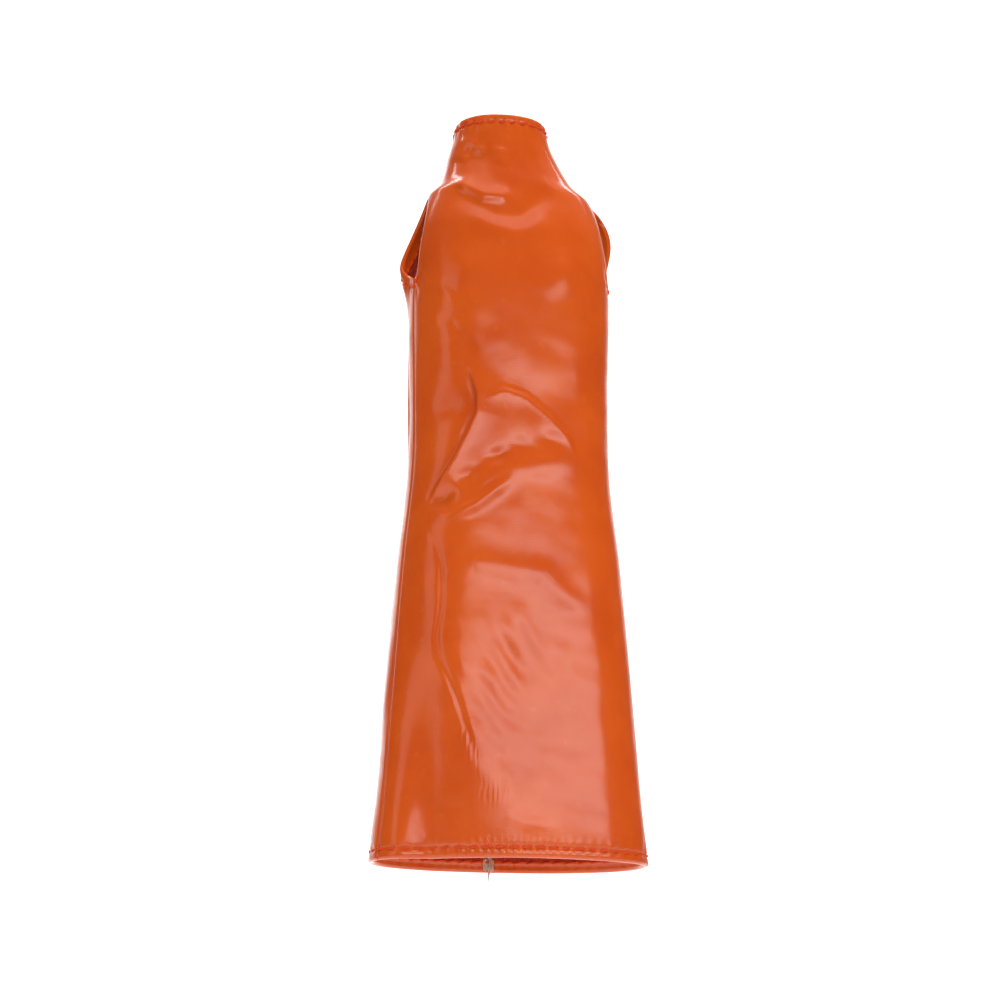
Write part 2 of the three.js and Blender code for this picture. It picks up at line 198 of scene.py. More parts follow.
# points of the outer face, moved out by `out`
def surface(turn, h, out=0.0):
    turn, h, out = np.broadcast_arrays(np.asarray(turn, float), np.asarray(h, float), np.asarray(out, float))
    x, y = ring(turn, h)
    x1, y1 = ring(turn + 0.5, h)
    x0, y0 = ring(turn - 0.5, h)
    nx, ny = y1 - y0, -(x1 - x0)
    n = np.sqrt(nx * nx + ny * ny)
    return np.stack([x + nx / n * out, y + ny / n * out, h - cut["length"]], -1)


def backTurn(x, h):
    own = x - sway(h)
    return 180 - np.degrees(np.arctan2(own, backDepth(h) * roundOff(own, h)))


def seamAt(side, h):
    return mix(cut["sideSeam"] + side * cut["seamTurn"], 90.0, ease(armLow, armHigh, h))


def armhole(h):
    return np.sqrt(np.maximum(0, 1 - ((h - armMid) / armHalf) ** 2))


def frontLimit(side, h):
    return seamAt(side, h) - (seamAt(side, h) - cut["armFront"]) * armhole(h)


def backLimit(side, h):
    return seamAt(side, h) + (cut["armBack"] - seamAt(side, h)) * armhole(h)


# rough distance from a point to the nearer armhole's edge
def armDistance(turn, h):
    side = signedTurn(turn)
    seam = seamAt(np.where(side >= 0, 1.0, -1.0), h)
    side = np.abs(side)
    reach = np.maximum(np.where(side > seam, cut["armBack"] - seam, seam - cut["armFront"]), 2.0)
    wide = np.radians(reach) * halfWidth(h)
    u, v = (side - seam) / reach, (h - armMid) / armHalf
    rho = np.sqrt(u * u + v * v) + 1e-6
    return (rho - 1) / np.sqrt((u / rho / wide) ** 2 + (v / rho / armHalf) ** 2)


# signed distance to a line of points, and how far along it the nearest place is (0 to 1)
def along(x, h, points):
    p = np.array(points, float)
    seg = p[1:] - p[:-1]
    size = np.sqrt((seg ** 2).sum(1))
    start = np.concatenate([[0], np.cumsum(size)[:-1]])
    best = np.full(x.shape, 1e9)
    where = np.zeros(x.shape)
    side = np.zeros(x.shape)
    for i in range(len(seg)):
        qx, qh = x - p[i, 0], h - p[i, 1]
        t = clamp((qx * seg[i, 0] + qh * seg[i, 1]) / size[i] ** 2)
        dx, dh = qx - t * seg[i, 0], qh - t * seg[i, 1]
        d = np.sqrt(dx * dx + dh * dh)
        near = d < best
        best = np.where(near, d, best)
        where = np.where(near, start[i] + t * size[i], where)
        side = np.where(near, np.sign(seg[i, 0] * qh - seg[i, 1] * qx), side)
    return best * side, where / size.sum()


def taper(t, first=0.25, last=0.25):
    return ease(0, first, t) * (1 - ease(1 - last, 1, t))


# a raised line; `left` and `right` are how far its two sides run out
def ridge(x, h, points, height, left, right):
    d, t = along(x, h, points)
    run = np.where(d > 0, left, right)
    return height * np.exp(-((d / run) ** 2)) * taper(t)


# sheet pushed over on itself: a gentle rise on the left of the line, a steep drop on its right
def lap(x, h, points, height, gentle, steep):
    d, t = along(x, h, points)
    hollow = -0.55 * np.exp(-np.abs(d) / (steep * 3))
    rise = np.where(d > 0, np.exp(-np.abs(d) / gentle), hollow)
    edge = ease(-steep, steep * 0.4, d)
    return height * taper(t) * np.where(d > steep * 0.4, rise, mix(hollow, 1.0, edge))


def dome(x, h, cx, ch, rx, rh, height, lean=0.0):
    c, s = math.cos(math.radians(lean)), math.sin(math.radians(lean))
    u, v = (x - cx) * c + (h - ch) * s, -(x - cx) * s + (h - ch) * c
    return height * np.exp(-((u / rx) ** 2) - (v / rh) ** 2)


# soft random relief, the same every run
def waves(x, h, seed, scale, count=9):
    rng = np.random.default_rng(seed)
    total = np.zeros(np.shape(x))
    for _ in range(count):
        angle, phase = rng.uniform(0, math.pi), rng.uniform(0, 2 * math.pi)
        k = 2 * math.pi / (scale * rng.uniform(0.6, 1.6))
        total = total + np.sin(k * (x * math.cos(angle) + h * math.sin(angle)) + phase)
    return total / math.sqrt(count)


# The folds of the front in mm, x towards the wearer's left. A crease or a lap is a height and its two
# runs, then its line as x and height pairs. A dent or a bulge is its x, height, two radii, rise and lean.
frontFoldSet = {
    "shift": 1.8,  # the lines are written this far to the wearer's left of where they lie
    "creases": [
        # facets at the left of the neck
        (0.35, 1.0, 1.4, [(-6.5, 155.5), (-7.4, 152.5), (-9.2, 149.5)]),
        (0.35, 0.8, 0.9, [(-6.5, 154.5), (-4.6, 152.0), (-2.6, 151.2)]),
        (0.3, 0.7, 0.7, [(-9.0, 149.4), (-5.5, 151.0), (-2.8, 151.4)]),
        (0.3, 1.6, 1.6, [(0.4, 152.5), (-0.6, 147.5)]),
        # curved swags where the neck meets the chest
        (0.75, 1.8, 1.3, [(-11.0, 145.5), (-8.6, 142.0), (-5.4, 140.2), (-1.8, 140.0), (1.0, 141.6)]),
        (-0.50, 2.0, 2.2, [(-11.4, 142.5), (-7.2, 137.6), (-2.6, 135.8), (2.6, 136.0), (6.8, 139.8),
                           (9.4, 145.0)]),
        (0.42, 2.2, 2.8, [(-10.6, 139.5), (-5.0, 133.2), (0.2, 131.0), (4.6, 132.0), (8.6, 137.0)]),
        # soft streaks across the chest
        (0.16, 4.0, 3.0, [(-4.6, 110.0), (3.0, 103.0), (10.0, 97.0)]),
        (0.3, 1.8, 2.4, [(15.5, 95.0), (20.5, 82.0)]),
        # facets at the wearer's right of the chest
        (-0.16, 1.4, 0.7, [(-14.5, 121.0), (-11.0, 116.5), (-8.8, 112.6)]),
        (-0.16, 0.7, 1.4, [(-15.5, 112.4), (-12.0, 112.2), (-8.8, 112.4)]),
        (-0.20, 1.2, 0.7, [(-13.4, 112.2), (-10.6, 107.5), (-7.6, 103.6)]),
        # band under the bulge, and the rim of the pinch
        (0.40, 2.6, 2.6, [(15.0, 82.5), (8.6, 80.8), (2.2, 79.8), (-2.6, 78.4), (-5.4, 76.6), (-8.4, 73.6)]),
        (0.50, 0.9, 1.6, [(-17.8, 71.4), (-12.8, 69.6), (-7.6, 71.8), (-3.8, 74.6), (1.2, 78.4)]),
        # long crease down the skirt
        (-0.26, 0.7, 0.4, [(-18.0, 70.0), (-15.4, 64.0), (-14.2, 58.5), (-14.2, 51.0), (-15.2, 44.0),
                           (-14.6, 40.0), (-13.0, 36.5), (-11.2, 32.0), (-8.6, 24.0), (-6.4, 17.0)]),
        # edges between the skirt's planes
        (0.28, 2.0, 2.8, [(-13.2, 57.0), (-7.6, 59.4), (-0.6, 58.4), (6.8, 57.6), (11.0, 53.2),
                          (17.0, 50.0)]),
        (0.12, 3.4, 2.6, [(-4.4, 49.4), (4.6, 43.0), (9.2, 39.6), (14.0, 37.8)]),
        (-0.12, 2.4, 1.8, [(-8.0, 34.0), (-3.0, 24.0), (-1.0, 12.0)]),
        (0.12, 1.2, 1.8, [(-1.4, 16.5), (-1.0, 8.6), (2.0, 7.0), (6.0, 6.6), (9.4, 4.6)]),
    ],
    "laps": [
        # long S-shaped crease at the waist, and the upper edge of the bulge beside it
        (1.0, 2.4, 0.5, [(-9.6, 103.0), (-8.0, 98.5), (-7.0, 95.0), (-7.2, 91.4), (-9.0, 87.0),
                         (-11.4, 82.0), (-14.6, 76.5), (-17.5, 71.5)]),
        (0.5, 2.6, 1.1, [(14.2, 82.0), (12.2, 86.5), (8.6, 90.6), (3.0, 95.0), (-1.6, 96.4), (-6.2, 94.0)]),
    ],
    "domes": [
        # dent in the neck, and the broad soft planes of the chest
        (-6.0, 150.6, 3.2, 2.8, -0.8, 20), (10.5, 122.5, 3.0, 4.6, 0.75, -25),
        (-8.5, 123.0, 4.0, 3.4, 0.3, 10), (-12.0, 117.5, 3.2, 4.4, 0.16, 0),
        (-13.0, 105.5, 2.8, 4.8, 0.18, 0),
        # hollow beside the S-shaped crease
        (-12.6, 93.6, 3.6, 3.0, -0.7, 15),
        # the bulge and the dimples under it
        (4.0, 88.0, 10.0, 6.0, 0.45, -15), (2.0, 84.6, 2.5, 1.9, -0.38, -20),
        (8.4, 86.0, 2.4, 1.8, -0.34, -25), (-3.0, 82.0, 2.3, 1.5, -0.48, 25),
        (-8.6, 78.0, 2.5, 1.6, -0.50, 30), (-12.8, 74.4, 1.7, 1.1, -0.35, 35),
        # the pinch, and the hollow middle of the skirt
        (-14.4, 73.4, 2.8, 1.7, -0.9, 10), (2.0, 40.0, 11.0, 18.0, -0.55, 12),
    ],
    # slanting ripples in the middle of the skirt, and crinkles near the hem
    "ripples": {"place": (-1.0, 35.0, 9.0, 14.0, 1.0), "rise": 0.12, "seed": 8, "scale": 4},
    "crinkles": {"places": ((-9.0, 22.5, 1.6, 4.6, 1.0, 20), (-3.6, 13.0, 2.6, 2.2, 1.0, 10)),
                 "rise": 0.075, "pitch": 0.95, "wander": 1.4, "seed": 5, "scale": 5},
    # the wearer's lower right corner slopes in, beyond a slanting line
    "corner": {"from": (-14.1, 41.7), "square": (-0.944, -0.33), "slope": 0.15, "fade": (-24, -15)},
}


# everything pressed into the front, as a rise in mm
def frontFolds(x, h):
    x = x + frontFoldSet["shift"]
    z = np.zeros(np.broadcast(x, h).shape)
    for make, key in ((ridge, "creases"), (lap, "laps")):
        for height, left, right, points in frontFoldSet[key]:
            z += make(x, h, points, height, left, right)
    for place in frontFoldSet["domes"]:
        z += dome(x, h, *place)
    s = frontFoldSet["ripples"]
    ripples = waves(0.83 * x + 0.56 * h, 0.17 * x - 0.25 * h, s["seed"], s["scale"])
    z += s["rise"] * dome(x, h, *s["place"]) * ripples
    s = frontFoldSet["crinkles"]
    burst = sum(dome(x, h, *place) for place in s["places"])
    wander = s["wander"] * waves(x, h, s["seed"], s["scale"])
    z += s["rise"] * burst * np.sin(x * 2 * math.pi / s["pitch"] + wander)
    s = frontFoldSet["corner"]
    beyond = s["square"][0] * (x - s["from"][0]) + s["square"][1] * (h - s["from"][1])
    return z - s["slope"] * np.logaddexp(0, beyond) * ease(*s["fade"], x)


# how far each row of stitches is from its edge, its pitch, and how deep it sinks and puckers
hemSet = {"in": 2.1, "pitch": 2.75, "groove": 0.20, "pucker": 0.08}
collarSet = {"in": 1.9, "pitch": 2.4, "groove": 0.18, "pucker": 0.12}
armSet = {"in": 2.1, "pitch": 2.2, "groove": 0.16, "pucker": 0.08, "outside": (-122, 88)}
grooveRun, puckerRun = 0.38, 1.3
# soft unevenness of the whole sheet (height, seed, scale) and the slack across the back
unevenSet = {"broad": (0.16, 3, 34), "fine": (0.022, 8, 7)}
slackSet = {"height": 0.35, "middle": 84, "reach": 26}


# how far along a row of stitches a place lies, in mm
def armRun(turn, h):
    return np.arctan2((h - armMid) / armHalf, (np.abs(signedTurn(turn)) - 90) / 15) * 11


def hemRun(turn, h):
    return np.radians(signedTurn(turn)) * halfWidth(h)


# how far the outer face stands off the plain shape
def relief(turn, h):
    turn, h = np.broadcast_arrays(np.asarray(turn, float), np.asarray(h, float))
    side = signedTurn(turn)
    x = ring(turn, h)[0] - sway(h)
    seam = seamAt(np.sign(side), h)
    fromSeam = np.radians(np.abs(np.abs(side) - seam)) * halfWidth(h)
    z = frontFolds(x, h) * (np.abs(side) < 92) * ease(0.2, 3.0, fromSeam)
    # the whole sheet is never quite even
    clear = ease(0.2, 2.5, fromSeam)
    height, seed, scale = unevenSet["broad"]
    z = z + height * waves(np.radians(side) * 14, h, seed, scale) * ease(0, 6, cut["length"] - h) * clear
    height, seed, scale = unevenSet["fine"]
    z = z + height * waves(np.radians(side) * 20, h, seed, scale) * clear
    back = (np.abs(side) > 92) * ease(0.2, 3.0, fromSeam) * ease(3, 9, np.abs(x))
    near = np.exp(-(((h - slackSet["middle"]) / slackSet["reach"]) ** 2))
    z = z + back * slackSet["height"] * np.sin(h / 9.0 + side / 31.0) * near
    # stitch lines sink in, with puckers each side
    behind = np.maximum(ease(-3, 1, np.abs(side) - seam), ease(0.3, -0.4, (h - armMid) / armHalf + 0.6))
    for line, run, s, where in ((h - hemSet["in"], hemRun(turn, h), hemSet, 1.0),
                                (cut["length"] - h - collarSet["in"], hemRun(turn, h), collarSet, 1.0),
                                (armDistance(turn, h) - armSet["in"], armRun(turn, h), armSet, behind)):
        z = z - where * s["groove"] * np.exp(-((line / grooveRun) ** 2))
        beats = np.cos(2 * math.pi * run / s["pitch"])
        z = z + where * s["pucker"] * beats * np.exp(-((line / puckerRun) ** 2))
    return z


# places from 0 to total, close together at both ends so that the folded edge is round
def edgeSteps(total, fine, coarse):
    near = np.array([0, 0.05, 0.15, 0.3, 0.5, 0.75, 1.05, 1.4, 1.75, 2.1, 2.5, 2.9, 3.3]) * fine
    near = near[near < total * 0.4]
    n = max(2, int((total - 2 * near[-1]) / coarse))
    middle = np.linspace(near[-1], total - near[-1], n + 1)[1:-1]
    return np.concatenate([near, middle, total - near[::-1]])


# heights of the rows: close at the hem, at the collar and round the armhole's two ends
def rowHeights(step):
    rows = list(edgeSteps(cut["length"], 1.0, step))
    for end in (armLow, armHigh):
        rows += [end + k for k in (-0.6, -0.3, -0.12, 0, 0.04, 0.12, 0.3, 0.6)]
    rows = np.unique(np.round(np.array(rows), 3))
    keep = [rows[0]]
    for r in rows[1:]:
        if r - keep[-1] > 0.03:
            keep.append(r)
    return np.array(keep)


def link(obj):
    bpy.context.scene.collection.objects.link(obj)
    return obj


# the four-sided faces of a grid of points
def gridFaces(rows, cols):
    i = np.arange((rows - 1) * cols).reshape(rows - 1, cols)[:, :-1].ravel()
    return np.stack([i, i + 1, i + cols + 1, i + cols], -1)


# merges doubles, turns the faces outward and shades them smooth; gives the number of open edges
def tidyMesh(mesh, merge=2e-6):
    bm = bmesh.new()
    bm.from_mesh(mesh)
    bmesh.ops.remove_doubles(bm, verts=bm.verts, dist=merge)
    bmesh.ops.dissolve_degenerate(bm, edges=bm.edges, dist=1e-7)
    bmesh.ops.recalc_face_normals(bm, faces=bm.faces)
    openEdges = sum(1 for edge in bm.edges if not edge.is_manifold)
    for f in bm.faces:
        f.smooth = True
    bm.to_mesh(mesh)
    bm.free()
    return openEdges


# A closed shell between two turns. Both layers come together in a round fold at every edge.
def panelMesh(name, s, fromTurn, toTurn, liftAt, edgeAt, materials):
    rows = rowHeights(s["rowStep"])
    wide = 40.0
    share = edgeSteps(wide, 0.8, wide / s["columns"]) / wide
    h = np.repeat(rows[:, None], len(share), 1)
    lo, hi = fromTurn(rows)[:, None], toTurn(rows)[:, None]
    turn = mix(lo, hi, share[None, :])
    span = np.radians(np.abs(hi - lo)) * halfWidth(rows)[:, None]
    e = np.minimum(share[None, :] * span, (1 - share[None, :]) * span)
    e = np.minimum(e, np.minimum(h, cut["length"] - h))
    e = np.minimum(e, np.maximum(0, armDistance(turn, h)))
    thick = edgeAt(turn, h, e)
    r = thick / 2
    tuck = np.where(e < r, r - np.sqrt(np.maximum(0, r * r - (r - e) ** 2)), 0)
    up = liftAt(turn, h) + relief(turn, h)
    outer = surface(turn, h, up - tuck)
    inner = surface(turn, h, up - thick + tuck)
    nr, nc = turn.shape
    points = np.concatenate([outer.reshape(-1, 3), inner.reshape(-1, 3)]) * mm
    quads = gridFaces(nr, nc)
    faces = np.concatenate([quads, quads[:, ::-1] + nr * nc])
    mesh = bpy.data.meshes.new(name)
    mesh.from_pydata(points.tolist(), [], faces.tolist())
    for m in materials:
        mesh.materials.append(m)
    # coated outside, knitted backing inside; the turned allowance shows its coated side inside
    inside = np.where(e.reshape(-1)[quads].mean(1) < s["allowance"], 0, 1)
    slots = np.concatenate([np.zeros(len(quads)), inside]).astype(np.int32)
    mesh.polygons.foreach_set("material_index", slots)
    # the sheet's own coordinates, in metres round and up, for the ribs in the coating
    uv = mesh.uv_layers.new(name="sheet")
    flat = np.stack([np.radians(turn).ravel() * 20.0, h.ravel()], -1) * mm
    loops = np.zeros(len(mesh.loops), np.int32)
    mesh.loops.foreach_get("vertex_index", loops)
    uv.data.foreach_set("uv", np.concatenate([flat, flat])[loops].astype(np.float32).ravel())
    obj = link(bpy.data.objects.new(name, mesh))
    openEdges = tidyMesh(mesh)
    area = sum(p.area for p in mesh.polygons) / 2
    print(name, "faces", len(mesh.polygons), "open edges", openEdges, "area per layer m2", round(area, 6))
    return obj


def newMaterial(name):
    m = bpy.data.materials.new(name)
    m.use_nodes = True
    nodes, links = m.node_tree.nodes, m.node_tree.links

    def add(kind, **values):
        node = nodes.new(kind)
        for key, value in values.items():
            if key in node.inputs:
                node.inputs[key].default_value = value
            else:
                setattr(node, key, value)
        return node

    return m, nodes["Principled BSDF"], add, links.new


def noise(add, join, coords, scale, detail=2.0, rough=0.5):
    n = add("ShaderNodeTexNoise", Scale=scale, Detail=detail, Roughness=rough)
    join(coords, n.inputs["Vector"])
    return n.outputs["Fac"]


def bands(add, join, coords, across, width, distortion):
    n = add("ShaderNodeTexWave", bands_direction=across, Scale=0.314 / width, Distortion=distortion,
            Detail=2.0)
    join(coords, n.inputs["Vector"])
    return n.outputs["Fac"]


def ranged(add, join, value, low, high, outLow, outHigh):
    n = add("ShaderNodeMapRange")
    for key, v in (("From Min", low), ("From Max", high), ("To Min", outLow), ("To Max", outHigh)):
        n.inputs[key].default_value = v
    join(value, n.inputs["Value"])
    return n.outputs["Result"]


def colours(add, join, factor, first, second):
    n = add("ShaderNodeMix", data_type="RGBA")
    for socket, value in ((n.inputs[6], first), (n.inputs[7], second)):
        if isinstance(value, tuple):
            socket.default_value = (*value, 1)
        else:
            join(value, socket)
    join(factor, n.inputs[0])
    return n.outputs[2]


def bump(add, join, height, depth, strength=1.0, under=None):
    n = add("ShaderNodeBump", Strength=strength, Distance=depth)
    join(height, n.inputs["Height"])
    if under is not None:
        join(under, n.inputs["Normal"])
    return n.outputs["Normal"]


patentSet = {
    "colour": (0.710, 0.098, 0.0042), "deep": (0.645, 0.077, 0.0026), "rubbed": (0.780, 0.160, 0.016),
    "roughness": (0.42, 0.55), "specular": 0.15, "coat": 1.0, "coatRoughness": 0.17, "coatIndex": 1.5,
    "rib": 0.00034, "ribDepth": 0.0000050,
}


# glossy coated sheet: fine ribs across it, faint orange peel, colour a little uneven, small rubbed specks
def patentFinish(s):
    m, shader, add, join = newMaterial("patentSheet")
    place = add("ShaderNodeTexCoord").outputs["Object"]
    flat = add("ShaderNodeUVMap", uv_map="sheet").outputs["UV"]
    patches = ranged(add, join, noise(add, join, place, 70, 3), 0.35, 0.65, 0, 1)
    specks = ranged(add, join, noise(add, join, place, 420, 4, 0.6), 0.62, 0.78, 0, 0.4)
    ground = colours(add, join, patches, s["deep"], s["colour"])
    join(colours(add, join, specks, ground, s["rubbed"]), shader.inputs["Base Color"])
    smudges = noise(add, join, place, 130, 4, 0.65)
    join(ranged(add, join, smudges, 0.3, 0.7, *s["roughness"]), shader.inputs["Roughness"])
    waviness = bump(add, join, noise(add, join, place, 260, 2), 0.00004, 0.8)
    peel = bump(add, join, noise(add, join, place, 1100, 2), 0.000008, 0.7, waviness)
    ribbed = bump(add, join, bands(add, join, flat, "Y", s["rib"], 1.2), s["ribDepth"], 1.0, peel)
    join(ribbed, shader.inputs["Normal"])
    join(ribbed, shader.inputs["Coat Normal"])
    shader.inputs["Specular IOR Level"].default_value = s["specular"]
    shader.inputs["Coat Weight"].default_value = s["coat"]
    shader.inputs["Coat Roughness"].default_value = s["coatRoughness"]
    shader.inputs["Coat IOR"].default_value = s["coatIndex"]
    return m


backingSet = {
    "dark": (0.640, 0.040, 0.011), "light": (0.780, 0.068, 0.022),
    "wale": 0.00055, "course": 0.00042, "roughness": 0.92, "sheen": 0.25, "sheenRoughness": 0.5,
}


# brushed knit glued behind the coating
def backingFinish(s):
    m, shader, add, join = newMaterial("knitBacking")
    place = add("ShaderNodeTexCoord").outputs["Object"]
    flat = add("ShaderNodeUVMap", uv_map="sheet").outputs["UV"]
    patches = noise(add, join, place, 240, 4, 0.7)
    join(colours(add, join, patches, s["dark"], s["light"]), shader.inputs["Base Color"])
    both = add("ShaderNodeMath", operation="MULTIPLY")
    join(bands(add, join, flat, "X", s["wale"], 2.0), both.inputs[0])
    join(bands(add, join, flat, "Y", s["course"], 2.0), both.inputs[1])
    knit = bump(add, join, both.outputs[0], 0.00012, 0.8)
    join(bump(add, join, noise(add, join, place, 3200, 3), 0.00008, 0.7, knit), shader.inputs["Normal"])
    for key, value in (("Roughness", "roughness"), ("Sheen Weight", "sheen"),
                       ("Sheen Roughness", "sheenRoughness")):
        shader.inputs[key].default_value = s[value]
    return m


fibreSet = {
    "sewingThread": {"dark": (0.640, 0.040, 0.005), "light": (0.820, 0.080, 0.012), "roughness": 0.75,
                     "ridges": "DIAGONAL", "width": 0.00016, "sheen": 0.0},
    "rawThread": {"dark": (0.520, 0.300, 0.200), "light": (0.760, 0.580, 0.460), "roughness": 0.8,
                  "ridges": "DIAGONAL", "width": 0.00020, "sheen": 0.2},
    "tapeGround": {"dark": (0.010, 0.008, 0.008), "light": (0.030, 0.026, 0.024), "roughness": 0.85,
                   "ridges": "Z", "width": 0.0003, "sheen": 0.1},
    "tapePile": {"dark": (0.014, 0.012, 0.012), "light": (0.050, 0.044, 0.042), "roughness": 0.45,
                 "ridges": "X", "width": 0.0002, "sheen": 0.0},
}


# twisted thread or woven tape: fibres by noise, ridges in one direction, colour a little uneven
def fibreFinish(name):
    s = fibreSet[name]
    m, shader, add, join = newMaterial(name)
    place = add("ShaderNodeTexCoord").outputs["Object"]
    fibres = noise(add, join, place, 900, 3, 0.6)
    join(colours(add, join, fibres, s["dark"], s["light"]), shader.inputs["Base Color"])
    twist = bump(add, join, bands(add, join, place, s["ridges"], s["width"], 1.0), 0.00004, 0.8)
    join(bump(add, join, noise(add, join, place, 5200, 2), 0.00003, 0.6, twist), shader.inputs["Normal"])
    shader.inputs["Roughness"].default_value = s["roughness"]
    shader.inputs["Specular IOR Level"].default_value = 0.25
    shader.inputs["Sheen Weight"].default_value = s["sheen"]
    return m


patent = patentFinish(patentSet)
backing = backingFinish(backingSet)
sewingThread, rawThread, tapeGround, tapePile = (fibreFinish(name) for name in fibreSet)
print("finishes made")

panelSet = {"rowStep": 0.62, "columns": 150, "allowance": cut["allowance"]}
backSet = {"rowStep": 0.66, "columns": 96, "allowance": cut["allowance"]}


def overEdgeX(h):
    return mix(0.02, -cut["overlap"], ease(slitLow - 4, slitLow, h))


def underEdgeX(h):
    return mix(-0.02, cut["overlap"], ease(slitLow, slitLow + 4, h))


def noLift(turn, h):
    return np.zeros(np.shape(turn))


def overLift(turn, h):
    return cut["lift"] * spread(ring(turn, h)[0]) * ease(slitLow - 10, slitLow - 3.5, h)


# twice the sheet along each edge, where the allowance is turned in
def thickness(turn, h, e):
    return mix(cut["turned"], cut["sheet"], ease(cut["allowance"], cut["allowance"] + 0.5, e))


# the opening's edges are a single sheet where the tape backs them
def tapedThickness(side):
    def at(turn, h, e):
        x = ring(turn, h)[0] * side
        taped = (1 - ease(3.5, 5.5, x)) * ease(slitLow - 6, slitLow - 2, h) * (1 - ease(154.6, 156.4, h))
        return mix(thickness(turn, h, e), cut["sheet"], taped)

    return at


overThickness, underThickness = tapedThickness(1), tapedThickness(-1)
frontPanel = panelMesh("frontPanel", panelSet, lambda h: -frontLimit(-1, h), lambda h: frontLimit(1, h),
                       noLift, thickness, [patent, backing])
leftBack = panelMesh("leftBackPanel", backSet, lambda h: backLimit(1, h), lambda h: backTurn(overEdgeX(h), h),
                     overLift, overThickness, [patent, backing])
rightBack = panelMesh("rightBackPanel", backSet, lambda h: backTurn(underEdgeX(h), h),
                      lambda h: 360 - backLimit(-1, h), noLift, underThickness, [patent, backing])
print("panels made")


# A tree that sets one small bent length of thread on every point. A point's "along" and "outward" turn
# it, and "reach" is its length when the bend is drawn one long.
def threadTree():
    tree = bpy.data.node_groups.new("threadOnPoints", "GeometryNodeTree")
    sockets = (("Geometry", "NodeSocketGeometry", None), ("Start", "NodeSocketVector", (-0.5, 0, 0)),
               ("Middle", "NodeSocketVector", (0, 0, 0.0003)), ("End", "NodeSocketVector", (0.5, 0, 0)),
               ("Radius", "NodeSocketFloat", 0.0002), ("Sides", "NodeSocketInt", 6),
               ("Steps", "NodeSocketInt", 6), ("Slant", "NodeSocketVector", (0, 0, 0)),
               ("Unevenness", "NodeSocketVector", (0, 0, 0)), ("Seed", "NodeSocketInt", 1),
               ("Finish", "NodeSocketMaterial", None))
    for name, kind, value in sockets:
        socket = tree.interface.new_socket(name, in_out="INPUT", socket_type=kind)
        if value is not None:
            socket.default_value = value
    tree.interface.new_socket("Geometry", in_out="OUTPUT", socket_type="NodeSocketGeometry")
    add, join = tree.nodes.new, tree.links.new
    given, result = add("NodeGroupInput"), add("NodeGroupOutput")
    bend, circle, tube = (add("GeometryNodeCurveQuadraticBezier"), add("GeometryNodeCurvePrimitiveCircle"),
                          add("GeometryNodeCurveToMesh"))
    tube.inputs["Fill Caps"].default_value = True

    def named(name, kind):
        node = add("GeometryNodeInputNamedAttribute")
        node.data_type = kind
        node.inputs["Name"].default_value = name
        return node

    along, outward, reach = (named("along", "FLOAT_VECTOR"), named("outward", "FLOAT_VECTOR"),
                             named("reach", "FLOAT"))
    turned, scale = add("FunctionNodeAxesToRotation"), add("ShaderNodeCombineXYZ")
    turned.primary_axis, turned.secondary_axis = "X", "Z"
    scale.inputs["Y"].default_value = scale.inputs["Z"].default_value = 1
    place, uneven = add("GeometryNodeInstanceOnPoints"), add("FunctionNodeRandomValue")
    uneven.data_type = "FLOAT_VECTOR"
    opposite, both = add("ShaderNodeVectorMath"), add("ShaderNodeVectorMath")
    opposite.operation = "SCALE"
    opposite.inputs["Scale"].default_value = -1
    asTurn, turn = add("FunctionNodeEulerToRotation"), add("GeometryNodeRotateInstances")
    real, paint = add("GeometryNodeRealizeInstances"), add("GeometryNodeSetMaterial")
    for source, out, target, into in (
            (given, "Start", bend, "Start"), (given, "Middle", bend, "Middle"), (given, "End", bend, "End"),
            (given, "Steps", bend, "Resolution"), (given, "Sides", circle, "Resolution"),
            (given, "Radius", circle, "Radius"), (bend, "Curve", tube, "Curve"),
            (circle, "Curve", tube, "Profile Curve"), (along, "Attribute", turned, "Primary Axis"),
            (outward, "Attribute", turned, "Secondary Axis"), (reach, "Attribute", scale, "X"),
            (given, "Geometry", place, "Points"), (tube, "Mesh", place, "Instance"),
            (turned, "Rotation", place, "Rotation"), (scale, "Vector", place, "Scale"),
            (given, "Unevenness", opposite, 0), (opposite, "Vector", uneven, "Min"),
            (given, "Unevenness", uneven, "Max"), (given, "Seed", uneven, "Seed"),
            (uneven, "Value", both, 0), (given, "Slant", both, 1), (both, "Vector", asTurn, "Euler"),
            (place, "Instances", turn, "Instances"), (asTurn, "Rotation", turn, "Rotation"),
            (turn, "Instances", real, "Geometry"), (real, "Geometry", paint, "Geometry"),
            (given, "Finish", paint, "Material"), (paint, "Geometry", result, "Geometry")):
        join(source.outputs[out], target.inputs[into])
    return tree


threads = threadTree()


# runs the tree on points in mm and keeps the result as a plain mesh
def threadOn(name, points, alongs, outwards, reach, finish, shape):
    mesh = bpy.data.meshes.new(name)
    mesh.from_pydata((np.asarray(points) * mm).tolist(), [], [])
    for key, values in (("along", alongs), ("outward", outwards)):
        data = mesh.attributes.new(key, "FLOAT_VECTOR", "POINT")
        data.data.foreach_set("vector", np.asarray(values, np.float32).ravel())
    data = mesh.attributes.new("reach", "FLOAT", "POINT")
    data.data.foreach_set("value", (np.ones(len(points)) * reach).astype(np.float32))
    obj = link(bpy.data.objects.new(name, mesh))
    modifier = obj.modifiers.new("threadOnPoints", "NODES")
    modifier.node_group = threads
    sockets = {i.name: i.identifier for i in threads.interface.items_tree if i.in_out == "INPUT"}
    for key, value in {**shape, "Finish": finish}.items():
        modifier[sockets[key]] = value
    bpy.context.view_layer.update()
    plain = bpy.data.meshes.new_from_object(obj.evaluated_get(bpy.context.evaluated_depsgraph_get()))
    obj.modifiers.clear()
    obj.data = plain
    plain.name = name
    tidyMesh(plain, 1e-8)
    return obj


